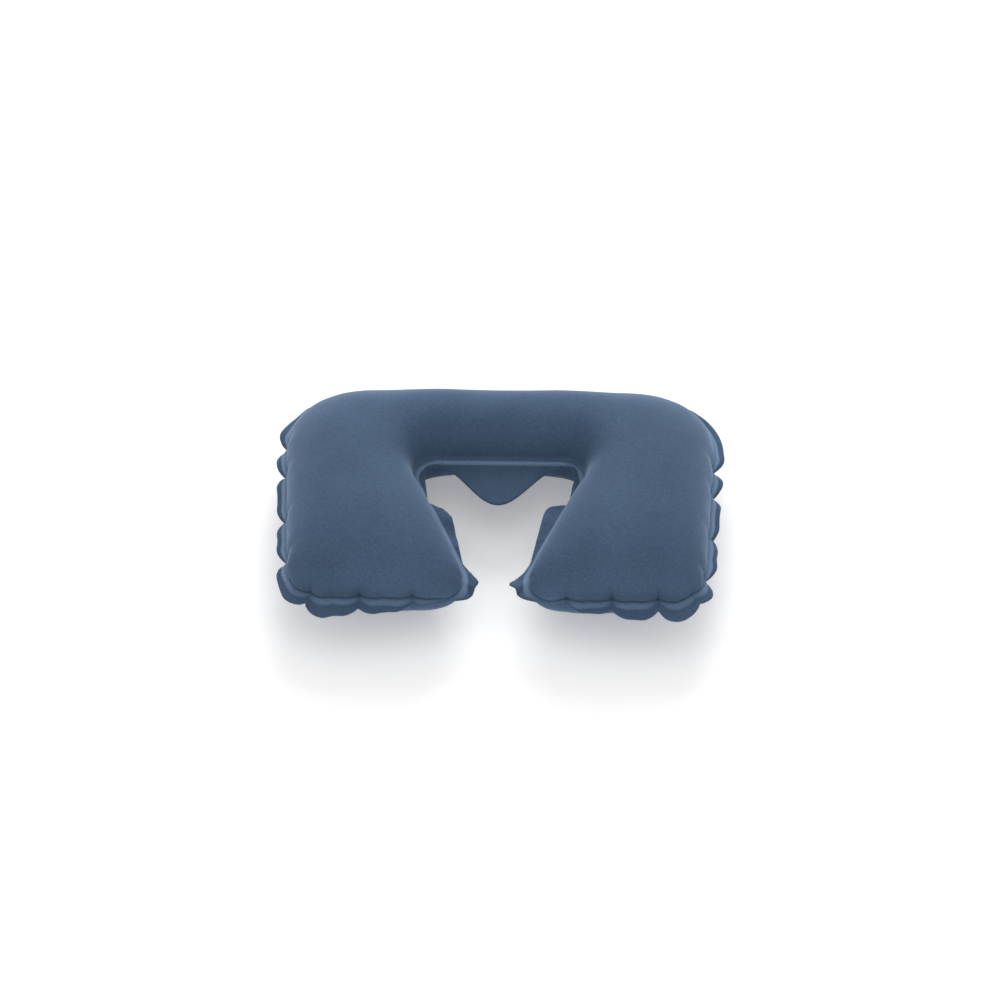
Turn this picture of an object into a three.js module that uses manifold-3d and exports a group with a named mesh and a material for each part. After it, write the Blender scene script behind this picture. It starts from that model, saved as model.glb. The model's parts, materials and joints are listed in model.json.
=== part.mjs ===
// Inflatable travel and camp pillow, U-shaped, in flocked film.
//
// Two flocked films are cut to one outline and welded together along an inner line, which leaves a
// flat flange outside the weld. Inflated, each film domes away from the flange. The double film inside
// the neck opening carries on as a bell-shaped neck flap. A soft push-in valve sits low on the rear of
// the lower film: a flange welded inside the film, an inverting skirt, a stem with a check flap at its
// inner end, and a cap plug on a strap.
//
// Millimetres, +Z up. The pillow lies on its lower film with the neck opening towards -Y. The origin
// is at the bottom centre of the bounding box.

import * as THREE from 'three';
import { mergeVertices } from 'three/addons/utils/BufferGeometryUtils.js';
import Module from 'manifold-3d';

const wasm = await Module();
wasm.setup();

// ---------------------------------------------------------------- driving dimensions

const FILM = 1.0; // thickness of each film with its flock
const WELD_GAP = 0.3; // between the two films' flat flanges
const WELD_Z = 45.5; // height of the weld line over the ground
const NECK_Y = 52; // inner weld line behind the neck
const BACK_Y = 126; // outer weld line behind the back tube
const FRONT_Y = -114; // weld line across the end of each arm
const OUTER_X = 190; // outer weld line beside each arm
const TIP_X = 21; // inner weld line at the tip of each arm

const TUBE_RISE = 39.5; // dome height over the weld line, behind the neck
const CORNER_RISE = 47.3; // the same where the back tube turns into the arm
const ARM_RISE = 48.8; // the same along the arm
const ARM_END = 62; // length over which the arm rounds down to its front weld

const EDGE_X = 200; // cut edge of the flange, beside
const EDGE_Y = 135; // cut edge behind
const EDGE_FRONT_Y = -141.6; // and at the front of each arm, before the outline bows

const BOW = 0.012; // part by which a corner of the outline draws in, so that no edge is straight
const TAPER = 0.053; // part by which the pillow is wider at its back edge than in the middle
const CORNER_X = 5.9; // how far the full rear corners push the outline aside
const CORNER_Y = 2.2; // and back

const FLAP_HALF = 57; // half width of the neck flap at its root
const FLAP_DROP = 43; // how far the bell reaches past its shoulders
const FLAP_SHOULDER_Y = 43; // where the bell's shoulders start
const FLAP_ROOT_Y = 48.4;
const FLAP_THICK = 2.0;
const FLAP_CLEAR = 0.6; // clearance round the flap's root

const VALVE_X = -45; // the valve, on the rear of the back tube
const VALVE_TILT = 35; // degrees below level, pointing rearward
const SEAT = 33.6; // flattened outer face of the film, from the tube's centre line
const SEAT_R = 16;
const PORT_R = 10; // hole in the film
const VALVE_RING_R = 15; // flange welded inside the film
const VALVE_RING_BORE = 9.6;
const STEM_R = 4.6;
const STEM_BORE = 2.8;
const STEM_RIM = -1.9; // stem's outer rim, below the film's outer face when pushed in
const STEM_LENGTH = 11.1;
const CAP_HINGE = 7.4; // strap hinge, from the stem's axis
const CAP_HEAD_R = 5.0;
const CLEAR = 0.3; // gap between pieces that touch

const STEPS = { back: 7, corner: 7, arm: 6, end: 5 }; // loft stations in half the pillow
const ACROSS = 12; // loft columns from the inner weld to the outer weld

// ---------------------------------------------------------------- materials

const flock = (color) => new THREE.MeshStandardMaterial({ color, roughness: 0.95, metalness: 0 });
const upperFlock = flock(0x4b6481);
const lowerFlock = flock(0x465e7a);
const flapFlock = flock(0x3f5570);
const softVinyl = new THREE.MeshStandardMaterial({ color: 0x9aa7b4, roughness: 0.45, metalness: 0 });
const capVinyl = new THREE.MeshStandardMaterial({ color: 0x5a6d82, roughness: 0.5, metalness: 0 });

// ---------------------------------------------------------------- outlines

// The outline as the air leaves it. No edge stays straight: everything bows out a little from the
// middle, the pillow is wider behind than in front, and its rear corners are the fullest.
function bowed(point) {
  const across = point.x / EDGE_X;
  const along = point.y / EDGE_Y;
  const corner = THREE.MathUtils.smoothstep(Math.abs(point.x), 70, 170)
    * THREE.MathUtils.smoothstep(point.y, 30, 110);
  point.x *= (1 - BOW * along * along) * (1 + TAPER * along);
  point.y *= 1 - BOW * across * across;
  point.x += Math.sign(point.x) * CORNER_X * corner;
  point.y += CORNER_Y * corner;
  return point;
}

// An open path through corners [x, y, radius]: straight line, arc, straight line, and so on.
function roundedPath(corners) {
  const path = new THREE.CurvePath();
  const points = corners.map(([x, y]) => new THREE.Vector2(x, y));
  let from = points[0];
  for (let i = 1; i < corners.length - 1; i += 1) {
    const back = points[i - 1].clone().sub(points[i]).normalize();
    const ahead = points[i + 1].clone().sub(points[i]).normalize();
    const half = Math.acos(THREE.MathUtils.clamp(back.dot(ahead), -1, 1)) / 2;
    const radius = corners[i][2];
    const reach = radius / Math.tan(half);
    const middle = back.clone().add(ahead).normalize();
    middle.multiplyScalar(radius / Math.sin(half)).add(points[i]);
    const start = back.clone().multiplyScalar(reach).add(points[i]);
    const stop = ahead.clone().multiplyScalar(reach).add(points[i]);
    const clockwise = back.cross(ahead) > 0;
    path.add(new THREE.LineCurve(from, start));
    path.add(new THREE.EllipseCurve(middle.x, middle.y, radius, radius,
      start.clone().sub(middle).angle(), stop.clone().sub(middle).angle(), clockwise));
    from = stop;
  }
  path.add(new THREE.LineCurve(from, points[points.length - 1]));
  return path;
}

// The weld line of the right half, from the middle of the back: inner side, then outer side.
const innerWeld = roundedPath([
  [0, NECK_Y, 0], [90, NECK_Y, 24], [TIP_X, FRONT_Y + 1, 20], [110, FRONT_Y, 0],
]);
const outerWeld = roundedPath([
  [0, BACK_Y, 0], [OUTER_X, BACK_Y, 75], [OUTER_X, FRONT_Y, 32], [110, FRONT_Y, 0],
]);

// Half of the neck flap's bell, as y over x.
const bell = (x) => FLAP_SHOULDER_Y - FLAP_DROP * (1 + Math.cos(Math.PI * x / FLAP_HALF)) / 2;

// The cut line of the right half, from the middle of the neck round to the middle of the back.
const slot = (FLAP_HALF + FLAP_CLEAR + FLAP_THICK / 2) / (1 + TAPER * FLAP_ROOT_Y / EDGE_Y);
const rootEdge = FLAP_ROOT_Y + FLAP_CLEAR;
const cutLine = roundedPath([
  [0, rootEdge, 0], [slot, rootEdge, 0.4], [slot, FLAP_SHOULDER_Y, 0.4], [68, FLAP_SHOULDER_Y, 8],
  [64, -2, 3], [43, -6, 12], [31, -73, 15], [14, -98, 3], [24, -112, 10], [85, -127, 120],
  [EDGE_X, EDGE_FRONT_Y, 42], [EDGE_X, EDGE_Y, 82], [0, EDGE_Y, 0],
]);

// A whole closed loop from a right half that starts and ends on the centre line.
function closedLoop(path, step) {
  const half = [];
  path.curves.forEach((curve) => {
    const count = Math.max(1, Math.round(curve.getLength() / (curve.isLineCurve ? 3 * step : step)));
    curve.getPoints(count).forEach((p) => {
      if (!half.length || p.distanceTo(half[half.length - 1]) > 0.05) half.push(p);
    });
  });
  half.forEach(bowed);
  const other = half.slice(1, -1).reverse().map((p) => new THREE.Vector2(-p.x, p.y));
  return half.concat(other);
}

// ---------------------------------------------------------------- the domed film

// Points of the right half's loft, station by station, from the middle of the back to the arm's end.
function halfStations() {
  const [innerBack, innerCorner, innerArm, innerTip] = innerWeld.curves;
  const [outerBack, outerCorner, outerArm, outerTip] = outerWeld.curves;
  const rows = [];
  const lay = (inner, outer, from, to, count, blend) => {
    for (let k = rows.length ? 1 : 0; k <= count; k += 1) {
      const t = k / count;
      const ease = Math.sin(t * Math.PI / 2);
      const at = from + (to - from) * (blend ? ease : t);
      rows.push({ inner: inner.getPoint(at), outer: outer.getPoint(at), blend: blend ? ease : 0 });
    }
  };
  lay(innerBack, outerBack, 0, 1, STEPS.back, false);
  lay(innerCorner, outerCorner, 0, 1, STEPS.corner, false);
  lay(innerArm, outerArm, 0, 1, STEPS.arm, false);
  lay(innerTip, outerTip, 0, 0.5, STEPS.end, true);

  const front = [innerTip, outerTip].map((arc) => arc.getPoints(12).slice(6));
  const frontEdge = new THREE.CurvePath();
  const chain = front[0].concat(front[1].reverse());
  for (let k = 1; k < chain.length; k += 1) frontEdge.add(new THREE.LineCurve(chain[k - 1], chain[k]));

  const last = rows[rows.length - 1];
  return rows.map((row, station) => {
    const line = [];
    for (let j = 0; j <= ACROSS; j += 1) {
      const angle = Math.PI * j / ACROSS;
      const across = (1 - Math.cos(angle)) / 2;
      const point = row.inner.clone().lerp(row.outer, across);
      const target = frontEdge.getPointAt(across);
      const straight = last.inner.clone().lerp(last.outer, across);
      point.add(target.clone().sub(straight).multiplyScalar(row.blend));
      bowed(point);
      bowed(target);
      line.push({ x: point.x, y: point.y, bulge: Math.sin(angle), target, station });
    }
    return line;
  });
}

// Dome height over the weld line at a loft point.
function rise(point) {
  const turn = STEPS.back + STEPS.corner / 2;
  const toCorner = THREE.MathUtils.smoothstep(point.station, STEPS.back * 0.75, turn);
  const toArm = THREE.MathUtils.smoothstep(point.station, turn, STEPS.back + STEPS.corner + 2);
  const full = TUBE_RISE + (CORNER_RISE - TUBE_RISE) * toCorner + (ARM_RISE - CORNER_RISE) * toArm;
  const left = Math.hypot(point.x - point.target.x, point.y - point.target.y);
  const round = Math.max(0, 1 - left / ARM_END);
  return full * point.bulge * Math.sqrt(1 - round * round);
}

// The whole outer skin, from the left arm's end to the right arm's end, rising from z = 0.
function outerSkin() {
  const half = halfStations();
  const right = half.map((line) => line.map((p) => new THREE.Vector3(p.x, p.y, rise(p))));
  const left = right.slice(1).reverse().map((line) => line.map((p) => new THREE.Vector3(-p.x, p.y, p.z)));
  return left.concat(right);
}

// The skin moved inwards by the film's thickness, along its own normals and level at the weld.
function innerSkin(skin) {
  const rows = skin.length - 1;
  return skin.map((line, i) => line.map((p, j) => {
    const along = skin[Math.min(i + 1, rows)][j].clone().sub(skin[Math.max(i - 1, 0)][j]);
    const across = line[Math.min(j + 1, ACROSS)].clone().sub(line[Math.max(j - 1, 0)]);
    const normal = along.cross(across).normalize();
    if (i === 0 || i === rows || j === 0 || j === ACROSS) normal.setZ(0).normalize();
    return p.clone().addScaledVector(normal, normal.z < 0 ? FILM : -FILM);
  }));
}

const boundary = (skin) => {
  const rows = skin.length - 1;
  const inner = skin.map((line) => line[0]);
  const outer = skin.map((line) => line[ACROSS]).reverse();
  return inner.concat(skin[rows].slice(1, -1), outer, skin[0].slice(1, -1).reverse());
};

// Triangle lists, each triangle being three vectors.
function skinFaces(skin, up) {
  const faces = [];
  for (let i = 0; i < skin.length - 1; i += 1) {
    for (let j = 0; j < ACROSS; j += 1) {
      const [a, b, c, d] = [skin[i][j], skin[i + 1][j], skin[i + 1][j + 1], skin[i][j + 1]];
      faces.push(up ? [a, b, c] : [a, c, b], up ? [a, c, d] : [a, d, c]);
    }
  }
  return faces;
}

function ringFaces(edge, hole, z, up) {
  const flat = (p) => new THREE.Vector2(p.x, p.y);
  const all = edge.concat(hole).map((p) => new THREE.Vector3(p.x, p.y, z));
  const corners = THREE.ShapeUtils.triangulateShape(edge.map(flat), [hole.map(flat)]);
  const faces = corners.map((triple) => triple.map((k) => all[k]));
  const turn = faces.reduce((sum, face) => sum + THREE.ShapeUtils.area(face), 0);
  return faces.map(([a, b, c]) => ((turn > 0) === up ? [a, b, c] : [a, c, b]));
}

function wallFaces(edge, low, high) {
  const faces = [];
  edge.forEach((p, i) => {
    const q = edge[(i + 1) % edge.length];
    const [a, b] = [new THREE.Vector3(p.x, p.y, low), new THREE.Vector3(q.x, q.y, low)];
    const [c, d] = [new THREE.Vector3(q.x, q.y, high), new THREE.Vector3(p.x, p.y, high)];
    faces.push([a, b, c], [a, c, d]);
  });
  return faces;
}

// A closed, indexed geometry from triangles, with its faces pointing out.
function closedGeometry(faces) {
  const geometry = new THREE.BufferGeometry();
  const numbers = faces.flatMap((face) => face.flatMap((p) => [p.x, p.y, p.z]));
  geometry.setAttribute('position', new THREE.Float32BufferAttribute(numbers, 3));
  return mergeVertices(geometry, 1e-4);
}

// One film: dome, inner skin and flat flange out to the cut line. `place` moves a point of the
// film, given in weld-line heights, to its height over the ground.
function film(flip, place) {
  const skin = outerSkin();
  const inside = innerSkin(skin);
  skin.forEach((line) => line.forEach((p) => p.setZ(p.z + FILM)));
  inside.forEach((line, i) => line.forEach((p, j) => {
    const edge = i === 0 || i === skin.length - 1 || j === 0 || j === ACROSS;
    p.setZ(edge ? 0 : p.z + FILM);
  }));
  const cut = closedLoop(cutLine, 4);
  const outward = THREE.ShapeUtils.area(cut) > 0;
  const wall = wallFaces(cut, 0, FILM).map((f) => (outward ? f : [f[0], f[2], f[1]]));
  const faces = [
    skinFaces(skin, true), ringFaces(cut, boundary(skin), FILM, true),
    skinFaces(inside, false), ringFaces(cut, boundary(inside), 0, false), wall,
  ];
  const isInner = [false, false, true, true, false];
  return closedGeometry(faces.flatMap((list, n) => list.map((face) => {
    const placed = face.map((p) => place(p, isInner[n]));
    return flip ? [placed[0], placed[2], placed[1]] : placed;
  })));
}

// ---------------------------------------------------------------- booleans

function solid(geometry) {
  const merged = geometry.clone();
  merged.deleteAttribute('normal');
  merged.deleteAttribute('uv');
  const closed = mergeVertices(merged, 1e-4);
  return new wasm.Manifold(new wasm.Mesh({
    numProp: 3,
    vertProperties: new Float32Array(closed.attributes.position.array),
    triVerts: new Uint32Array(closed.index.array),
  }));
}

function fromSolid(manifold) {
  const mesh = manifold.getMesh();
  const geometry = new THREE.BufferGeometry();
  geometry.setAttribute('position', new THREE.BufferAttribute(new Float32Array(mesh.vertProperties), 3));
  geometry.setIndex(new THREE.BufferAttribute(new Uint32Array(mesh.triVerts), 1));
  return geometry;
}

// ---------------------------------------------------------------- valve pieces, local +Z outwards

// A closed lathe profile of [radius, height] pairs about local Z.
function turned(profile, sides = 32) {
  const points = profile.concat([profile[0]]).map(([r, z]) => new THREE.Vector2(r, z));
  return new THREE.LatheGeometry(points, sides).rotateX(Math.PI / 2);
}

// A solid turned shape whose profile starts and ends on the axis.
function turnedSolid(profile, sides = 32) {
  const points = profile.map(([r, z]) => new THREE.Vector2(r, z));
  return new THREE.LatheGeometry(points, sides).rotateX(Math.PI / 2);
}

const disc = (r, low, high) => turnedSolid([[0, low], [r, low], [r, high], [0, high]], 40);

function block(width, length, height, x, y, z) {
  return new THREE.BoxGeometry(width, length, height).translate(x, y, z);
}

const valveAxis = new THREE.Vector3(0, 1, 0).applyAxisAngle(
  new THREE.Vector3(1, 0, 0), -THREE.MathUtils.degToRad(VALVE_TILT));
const tubeCentre = new THREE.Vector3(VALVE_X, (NECK_Y + BACK_Y) / 2, WELD_Z);

// The valve group's frame: origin in the film's outer face, local Z outwards, local X along the pillow.
const valve = new THREE.Group();
valve.position.copy(tubeCentre).addScaledVector(valveAxis, SEAT);
valve.rotation.x = -Math.PI / 2 - THREE.MathUtils.degToRad(VALVE_TILT);
valve.updateMatrix();

// ---------------------------------------------------------------- the films

// The lower film lies flat round the valve, and where it rests on the ground.
function lowerPlace(p, isInner) {
  const placed = new THREE.Vector3(p.x, p.y, WELD_Z - WELD_GAP / 2 - p.z);
  const from = placed.clone().sub(tubeCentre);
  const out = from.dot(valveAxis);
  const aside = from.clone().addScaledVector(valveAxis, -out).length();
  const limit = isInner ? SEAT - FILM : SEAT;
  if (out > limit && p.z > 2 * FILM) {
    const hold = 1 - THREE.MathUtils.smoothstep(aside, SEAT_R + 2, SEAT_R + 12);
    placed.addScaledVector(valveAxis, (limit - out) * hold);
  }
  return placed.setZ(Math.max(placed.z, isInner ? FILM : 0));
}

const upperGeometry = film(false, (p) => new THREE.Vector3(p.x, p.y, WELD_Z + WELD_GAP / 2 + p.z));

const seatPlate = solid(disc(SEAT_R, -FILM - 0.1, 0).applyMatrix4(valve.matrix));
const ringPocket = solid(disc(VALVE_RING_R + 2 * CLEAR, -9, -FILM - 0.1).applyMatrix4(valve.matrix));
const port = solid(disc(PORT_R, -9, 9).applyMatrix4(valve.matrix));
const lowerGeometry = fromSolid(
  solid(film(true, lowerPlace)).add(seatPlate).subtract(ringPocket).subtract(port));

// ---------------------------------------------------------------- neck flap

function flapGeometry() {
  const half = [[FLAP_HALF, 0], [FLAP_HALF, FLAP_SHOULDER_Y - FLAP_ROOT_Y]];
  const count = 14;
  for (let k = 1; k <= count; k += 1) {
    const x = FLAP_HALF * (1 - k / count);
    half.push([x, bell(x) - FLAP_ROOT_Y]);
  }
  const points = half.concat(half.slice(0, -1).reverse().map(([x, y]) => [-x, y]));
  const round = FLAP_THICK * 0.45;
  const shape = new THREE.Shape(points.map(([x, y]) => new THREE.Vector2(x, y)));
  const geometry = new THREE.ExtrudeGeometry(shape, {
    depth: FLAP_THICK - 2 * round,
    bevelThickness: round,
    bevelSize: round,
    bevelOffset: -round,
    bevelSegments: 2,
  });
  return geometry.translate(0, 0, round - FLAP_THICK / 2);
}

// ---------------------------------------------------------------- valve

const ringTop = -FILM - 0.1 - CLEAR;
const ringGeometry = turned([
  [VALVE_RING_BORE, ringTop - 0.8], [VALVE_RING_R, ringTop - 0.8],
  [VALVE_RING_R, ringTop], [VALVE_RING_BORE, ringTop],
]);

const stemFoot = STEM_RIM - STEM_LENGTH;
const skirtWall = 0.6;
const skirtNeck = STEM_R + CLEAR;
const skirtMouth = VALVE_RING_BORE - CLEAR - skirtWall;
const skirtGeometry = turned([
  [skirtNeck, stemFoot + 0.5], [skirtNeck + skirtWall, stemFoot + 0.5],
  [skirtMouth + skirtWall, ringTop - 0.2], [skirtMouth, ringTop - 0.2],
]);

const stemGeometry = turned([
  [STEM_BORE, stemFoot], [STEM_R, stemFoot], [STEM_R, STEM_RIM - 0.3], [STEM_R - 0.3, STEM_RIM],
  [STEM_BORE + 0.2, STEM_RIM], [STEM_BORE, STEM_RIM - 0.2],
]);

// The collar grips the stem under its rim, and its lug reaches out under the strap's hinge.
const collarTop = STEM_RIM - 0.5;
const collarGeometry = fromSolid(
  solid(turned([
    [STEM_R + CLEAR, collarTop - 1.8], [STEM_R + CLEAR + 1, collarTop - 1.8],
    [STEM_R + CLEAR + 1, collarTop], [STEM_R + CLEAR, collarTop],
  ])).add(solid(block(3.0, 2.2, 0.8, 0, STEM_R + CLEAR + 1.5, collarTop - 0.4))));

const capUnder = STEM_RIM + CLEAR;
const hingeZ = capUnder + 0.3;
const capGeometry = fromSolid(
  solid(turnedSolid([
    [0, capUnder - 3.4], [1.8, capUnder - 3.4], [2.5, capUnder], [CAP_HEAD_R, capUnder],
    [CAP_HEAD_R, capUnder + 1.1], [CAP_HEAD_R - 0.4, capUnder + 1.4], [0, capUnder + 1.4],
  ])).add(solid(block(4.6, 4.4, 0.8, 0, -CAP_HEAD_R - 1.2, capUnder + 0.7))));

// The strap runs from the head's edge to its hinge, in its own frame centred on the hinge.
const strapReach = CAP_HINGE - CAP_HEAD_R - CLEAR;
const strapGeometry = fromSolid(
  solid(new THREE.CylinderGeometry(0.4, 0.4, 3.6, 16).rotateZ(Math.PI / 2))
    .add(solid(block(3.6, strapReach, 0.8, 0, -strapReach / 2, 0))));

const checkTop = stemFoot - CLEAR;
const checkGeometry = turnedSolid(
  [[0, checkTop - 0.5], [4.0, checkTop - 0.5], [4.0, checkTop], [0, checkTop]], 24);

// ---------------------------------------------------------------- assembly

function piece(name, geometry, material) {
  const mesh = new THREE.Mesh(geometry, material);
  mesh.name = name;
  return mesh;
}

const pillow = new THREE.Group();
pillow.add(piece('upper_sheet', upperGeometry, upperFlock));
pillow.add(piece('lower_sheet', lowerGeometry, lowerFlock));

const flap = piece('neck_flap', flapGeometry(), flapFlock);
flap.position.set(0, FLAP_ROOT_Y, WELD_Z);
pillow.add(flap);

valve.add(piece('valve_flange', ringGeometry, softVinyl));
valve.add(piece('valve_skirt', skirtGeometry, softVinyl));
valve.add(piece('valve_stem', stemGeometry, softVinyl));
valve.add(piece('cap_collar', collarGeometry, capVinyl));
valve.add(piece('cap_plug', capGeometry, capVinyl));
valve.add(piece('check_flap', checkGeometry, softVinyl));
const strap = piece('cap_strap', strapGeometry, capVinyl);
strap.position.set(0, CAP_HINGE, hingeZ);
valve.add(strap);
pillow.add(valve);

export default pillow;
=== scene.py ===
"""Looks of an inflatable U-shaped camp pillow in blue-grey flocked film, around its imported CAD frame.

The two films are made as one flat cut pattern, raised to the shape that air gives it, pleated where
the slack flange folds, relaxed with cloth under pressure, and split into the upper and the lower film.
"""

import json
import math

import bmesh
import bpy
import numpy as np
from mathutils import Matrix, Vector
from mathutils.geometry import delaunay_2d_cdt


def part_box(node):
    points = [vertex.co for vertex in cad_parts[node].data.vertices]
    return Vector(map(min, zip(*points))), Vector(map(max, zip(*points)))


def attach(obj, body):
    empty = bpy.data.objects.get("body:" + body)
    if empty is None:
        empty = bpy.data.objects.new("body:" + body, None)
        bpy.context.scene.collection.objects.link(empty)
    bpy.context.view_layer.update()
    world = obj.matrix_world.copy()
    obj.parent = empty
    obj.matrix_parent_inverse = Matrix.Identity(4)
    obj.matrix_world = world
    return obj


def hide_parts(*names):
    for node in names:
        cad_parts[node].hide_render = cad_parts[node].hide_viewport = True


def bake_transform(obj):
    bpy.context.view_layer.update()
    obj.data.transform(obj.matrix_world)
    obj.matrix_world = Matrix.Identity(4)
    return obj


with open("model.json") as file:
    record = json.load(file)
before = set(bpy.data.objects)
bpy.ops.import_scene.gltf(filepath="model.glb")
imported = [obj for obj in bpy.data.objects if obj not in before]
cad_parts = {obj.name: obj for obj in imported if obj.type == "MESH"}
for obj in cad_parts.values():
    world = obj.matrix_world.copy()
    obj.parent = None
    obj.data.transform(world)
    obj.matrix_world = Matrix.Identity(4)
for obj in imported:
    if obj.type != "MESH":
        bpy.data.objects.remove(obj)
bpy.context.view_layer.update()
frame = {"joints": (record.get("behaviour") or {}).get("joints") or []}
MM = 0.001

# ---------------------------------------------------------------- sizes, in millimetres

joints = {j["name"]: j for j in frame["joints"]}
low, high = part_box("neck_flap")
WELD_Z = 500 * (low.z + high.z)  # height of the weld line: the middle of the flap
FLAP_HALF = 1000 * high.x
FLAP_TIP_Y = 1000 * low.y
FLAP_ROOT_Y = 1000 * high.y

NECK_Y = 53  # weld line behind the neck
BACK_Y = 126  # weld line behind the back tube
FRONT_Y = -115.2  # weld line across each arm's end
OUTER_X = 190  # weld line beside each arm
TIP_X = 21  # weld line at each arm's tip
EDGE_X = 200  # cut edge beside, before the outline bows
EDGE_Y = 135  # and behind
EDGE_FRONT_Y = -141.6  # and in front
BOW = 0.012  # the outline's corners draw in by this share
TAPER = 0.053  # share by which the pillow is wider at its back edge than in the middle
CORNER_X = 5.9  # how far the full rear corners push the outline aside
CORNER_Y = 2.2  # and back
ROOT_EDGE_Y = FLAP_ROOT_Y + 0.05
SLOT_X = (FLAP_HALF + 0.06) / (1 + TAPER * FLAP_ROOT_Y / EDGE_Y)
SHOULDER_Y = 43
VALVE_TILT = math.radians(35)  # below level, pointing rearward
TUBE_Y = 89  # the back tube's centre line at the valve
SEAT = 33.6  # flattened film at the valve, from the tube's centre line
SEAT_R = 16
PORT_R = 10  # hole in the lower film
AWAY_FROM_WELD = -40  # marks the port's rim as no part of the weld

TONGUE = 2.0  # how far the neck flap reaches in between the two films
FILM = 0.55  # thickness of a film with its flock
HALF_GAP = 0.04  # half of the gap between the two films at the weld
WELD_RAISE = 0.9  # how far the pressed weld stands up
FRONT_RAISE = 1.3  # and how much more at the arms' ends
FRONT_WIDER = 2.0  # how much wider it is there
FRONT_DULLER = 0.6  # and how much less it stands out in colour
COARSE = 3.7  # mesh spacing on the domes
FINE = 1.9  # and along the weld
ROWS = 10  # rows of points up the wall of a dome
ROW_RISE = 2.1  # each row's height over the one before
WALL_CURVE = 80  # twice the radius that the rows follow
FINE_REACH = 9.5  # the fine mesh ends this far inside the weld
WELD_BAND = 5.5  # width of the pressed weld
TUBE_FULLER = 1.073  # the back tube's dome against a free bubble of its width
ARM_FLATTER = 0.86  # and an arm's dome
OVERHANG_RISE = 34  # a dome's wall stands out over the weld up to this height
OVERHANG_OUT = 1.2  # this far on the outside
OVERHANG_IN = 2.4  # and this far on the arms' inner sides
TUBE_X = 45  # up to this far aside the dome is the back tube's
ARM_X = 115  # and from here on it is an arm's

PRESSURE = 12.0
FRAMES = 16  # of cloth simulation
REST_SLACK = 1.1  # noise in the film's rest shape along the weld, which leaves it a little too long
CAP = 6.0  # the farthest that the cloth may move a point

# Colours as sRGB, 0 to 255.
FLOCK_DARK = (64, 82, 105)
FLOCK_LIGHT = (70, 90, 114)
WELD_COLOUR = (116, 140, 168)  # the pressed weld is paler
WELD_SHARE = 0.8  # how much of that colour shows
RIB_PITCH = 1.1  # half the pitch of the fine ribs embossed beside the weld
RIBS = 6  # how many half pitches they cover
FLAP_PAINTED_SHADE = 0.95  # painted shade: the flap's flock is made darker to stand for the back tube's shadow on it
SHEEN = 0.55
SHEEN_ROUGH = 0.4
SHEEN_TINT = (178, 202, 232)

# The camera and the lights, in metres and degrees.
AIM = (1.3, 4.1)  # on the weld's plane, in millimetres
CAMERA_UP = 47.2
CAMERA_SIDE = 1.8
CAMERA_ROLL = -0.55
CAMERA_FAR = 2.0
CAMERA_LENS = 79.7
FLOOR = 9000  # half the floor's side, in millimetres
FLOOR_GLOW = 0.25  # light from the pale table itself
WORLD_LIGHT = 0.74
LIGHTS = [  # name, place, size and power
    ("key", (0.1, 1.7, 1.1), 1.3, 28),
    ("top", (0.0, 0.0, 2.0), 2.0, 3),
    ("front", (-0.2, -1.9, 1.0), 1.6, 5),
]

# Pleats where the slack flange folds: a place beside the outer weld line, how deep the weld is drawn
# in there, how far the flange bends up, in degrees, and which share of the flange is tucked in.
PLEATS = [
    (-164, -118, 4.6, 10, 0.26), (-118, -120, 4.4, 8, 0.10), (-72, -120, 4.2, 6, 0.06),
    (-194, -74, 3.2, -26, 0.62), (-194, -26, 2.2, -14, 0.42), (-198, 30, 2.2, -20, 0.48),
    (-202, 66, 3.2, -26, 0.62), (-160, 116, 2.4, -30, 0.35), (-112, 130, 1.8, -30, 0.25),
    (-62, 130, 1.6, 30, 0.20), (-8, 130, 1.8, -30, 0.25), (45, 130, 1.6, 26, 0.20),
    (97, 130, 2.0, -34, 0.25), (156, 118, 2.4, -34, 0.35), (203, 43, 3.2, -22, 0.60),
    (197, 12, 2.2, -16, 0.45), (194, -40, 1.6, -10, 0.30), (192, -89, 3.2, -26, 0.62),
    (62, -120, 4.2, 8, 0.08), (101, -120, 4.0, 8, 0.10), (141, -120, 4.4, 10, 0.22),
    (176, -114, 2.0, 8, 0.15),
]
DRAW_REACH = 4.0  # how far along the weld a pleat draws it in, falling away from a cusp
BEND_REACH = 7.5  # how far it bends the flange
TUCK_REACH = 6.5  # how far it tucks the flange in
PINCH_REACH = 3.2  # and how far it pinches the weld's roll
PINCH_DRAW = 4.0  # a pleat drawn in this deep pinches the roll all but flat
CREASE = 16.0  # a pleat's crease fades out over about this height of the dome

VALVE_AXIS = np.array([0, math.cos(VALVE_TILT), -math.sin(VALVE_TILT)])
TUBE_CENTRE = np.array([1000 * joints["cap_open"]["pos_m"][0], TUBE_Y, WELD_Z])

# ---------------------------------------------------------------- outlines


def fillet(corners, step=2.0):
    """An open path through (x, y, radius) corners, its corners rounded."""
    out = [np.array(corners[0][:2], float)]
    for before, here, after in zip(corners, corners[1:], corners[2:]):
        point, radius = np.array(here[:2], float), here[2]
        back = np.array(before[:2], float) - point
        ahead = np.array(after[:2], float) - point
        back, ahead = back / np.linalg.norm(back), ahead / np.linalg.norm(ahead)
        half = math.acos(float(np.clip(back @ ahead, -1, 1))) / 2
        middle = point + (back + ahead) / np.linalg.norm(back + ahead) * radius / math.sin(half)
        start = point + back * radius / math.tan(half) - middle
        stop = point + ahead * radius / math.tan(half) - middle
        first = math.atan2(start[1], start[0])
        turn = (math.atan2(stop[1], stop[0]) - first + math.pi) % (2 * math.pi) - math.pi
        for t in np.linspace(0, 1, max(3, int(abs(turn) * radius / step))):
            angle = first + turn * t
            out.append(middle + radius * np.array([math.cos(angle), math.sin(angle)]))
    out.append(np.array(corners[-1][:2], float))
    return np.array(out)


def smooth(x, start, stop):
    """From 0 to 1 between start and stop, with level ends."""
    t = np.clip((x - start) / (stop - start), 0, 1)
    return t * t * (3 - 2 * t)


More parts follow.
